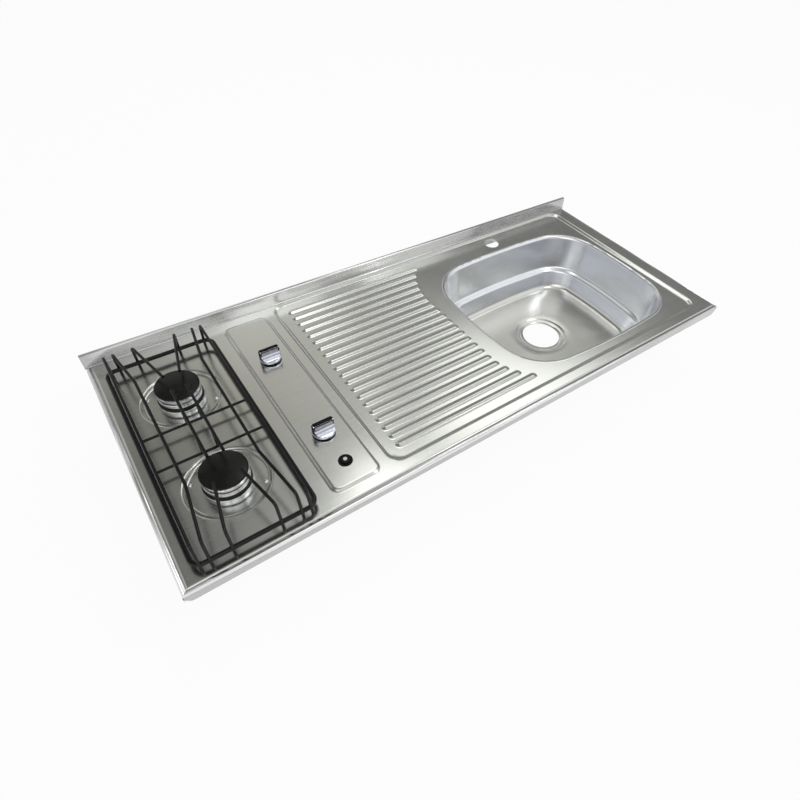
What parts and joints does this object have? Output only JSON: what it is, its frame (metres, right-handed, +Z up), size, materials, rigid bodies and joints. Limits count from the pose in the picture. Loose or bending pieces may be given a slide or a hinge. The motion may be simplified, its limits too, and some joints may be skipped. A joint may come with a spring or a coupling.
{
  "type": "stainless steel sink unit",
  "caption": "Pressed steel worktop with an upstand, a ribbed drainer, a deep bowl with waste and tap holes, and a gas hob with lift-off grate, burners, push-turn knobs and igniter.",
  "frame": {"origin": "middle of the underside of the middle rail, in the plane that the worktop sits on", "axes": "+X along the worktop towards the bowl, +Y from the front skirt towards the upstand, +Z up"},
  "size_m": [1.2, 0.52, 0.198],
  "materials": {
    "sheet_steel": "satin pressed stainless steel",
    "galvanised_steel": "galvanised",
    "bright_steel": "plain bright",
    "black_enamel": "gloss vitreous enamel",
    "burner_alloy": "cast, satin",
    "brass": "machined",
    "pipe_metal": "drawn tube",
    "knob_chrome": "bright plating",
    "black_plastic": "black",
    "white_plastic": "pale grey",
    "lead_rubber": "silicone sleeve",
    "electrode_ceramic": "white"
  },
  "bodies": {
    "worktop": {"worktop": "sheet_steel", "bowl": "sheet_steel", "bowl_floor": "sheet_steel", "waste_seat": "sheet_steel", "front_rail": "galvanised_steel", "rear_rail": "galvanised_steel", "left_rail": "galvanised_steel", "hob_rail": "galvanised_steel", "middle_rail": "galvanised_steel", "right_rail": "galvanised_steel", "hob_box": "galvanised_steel", "box_screws": "bright_steel", "burner_base_front": "black_enamel", "burner_base_rear": "black_enamel", "burner_cup_front": "burner_alloy", "burner_cup_rear": "burner_alloy", "burner_bracket_front": "galvanised_steel", "burner_bracket_rear": "galvanised_steel", "dish_screws": "bright_steel", "injector_holder_front": "brass", "injector_holder_rear": "brass", "injectors": "brass", "gas_rail": "galvanised_steel", "rail_supports": "galvanised_steel", "gas_inlet": "brass", "gas_pipe_front": "pipe_metal", "gas_pipe_rear": "pipe_metal", "pipe_nuts": "brass", "valve_body_front": "brass", "valve_body_rear": "brass", "valve_cap_front": "galvanised_steel", "valve_cap_rear": "galvanised_steel", "igniter_housing": "black_plastic", "igniter_nut": "black_plastic", "igniter_spring": "bright_steel", "ignition_lead_front": "lead_rubber", "ignition_lead_rear": "lead_rubber", "electrode_ceramics": "electrode_ceramic", "electrode_pins": "bright_steel"},
    "grate": {"grate_frame": "black_enamel", "grate_long_rods": "black_enamel", "grate_fingers": "black_enamel", "grate_wires": "black_enamel", "grate_centre_rods": "black_enamel"},
    "igniter_push": {"igniter_button": "black_plastic", "button_mark": "white_plastic"},
    "valve_front": {"valve_plug_front": "brass", "valve_spring_front": "bright_steel"},
    "knob_front": {"spindle_front": "bright_steel", "knob_front": "knob_chrome", "knob_inlay_front": "black_plastic"},
    "burner_front": {"burner_head_front": "burner_alloy"},
    "cap_front": {"burner_cap_front": "black_enamel"},
    "valve_rear": {"valve_plug_rear": "brass", "valve_spring_rear": "bright_steel"},
    "knob_rear": {"spindle_rear": "bright_steel", "knob_rear": "knob_chrome", "knob_inlay_rear": "black_plastic"},
    "burner_rear": {"burner_head_rear": "burner_alloy"},
    "cap_rear": {"burner_cap_rear": "black_enamel"}
  },
  "joints": [
    {"name": "knob_turn_front", "type": "hinge", "parent": "worktop", "child": "valve_front", "pos_m": [-0.315, -0.112, 0], "axis": [0, 0, 1], "range_deg": [0, 210]},
    {"name": "knob_push_front", "type": "slide", "parent": "valve_front", "child": "knob_front", "axis": [0, 0, -1], "range_m": [0, 0.003], "stiffness_N_per_m": 900, "springref_m": -0.004, "deforming": ["valve_spring_front"]},
    {"name": "knob_turn_rear", "type": "hinge", "parent": "worktop", "child": "valve_rear", "pos_m": [-0.315, 0.1005, 0], "axis": [0, 0, 1], "range_deg": [0, 210]},
    {"name": "knob_push_rear", "type": "slide", "parent": "valve_rear", "child": "knob_rear", "axis": [0, 0, -1], "range_m": [0, 0.003], "stiffness_N_per_m": 900, "springref_m": -0.004, "deforming": ["valve_spring_rear"]},
    {"name": "igniter_push", "type": "slide", "parent": "worktop", "child": "igniter_push", "axis": [0, 0, -1], "range_m": [0, 0.003], "stiffness_N_per_m": 1500, "springref_m": -0.003, "deforming": ["igniter_spring"]},
    {"name": "burner_lift_front", "type": "slide", "parent": "worktop", "child": "burner_front", "axis": [0, 0, 1], "range_m": [0, 0.008]},
    {"name": "cap_lift_front", "type": "slide", "parent": "burner_front", "child": "cap_front", "axis": [0, 0, 1], "range_m": [0, 0.006]},
    {"name": "burner_lift_rear", "type": "slide", "parent": "worktop", "child": "burner_rear", "axis": [0, 0, 1], "range_m": [0, 0.008]},
    {"name": "cap_lift_rear", "type": "slide", "parent": "burner_rear", "child": "cap_rear", "axis": [0, 0, 1], "range_m": [0, 0.006]},
    {"name": "grate_lift", "type": "slide", "parent": "worktop", "child": "grate", "axis": [0, 0, 1], "range_m": [0, 0.1]}
  ]
}
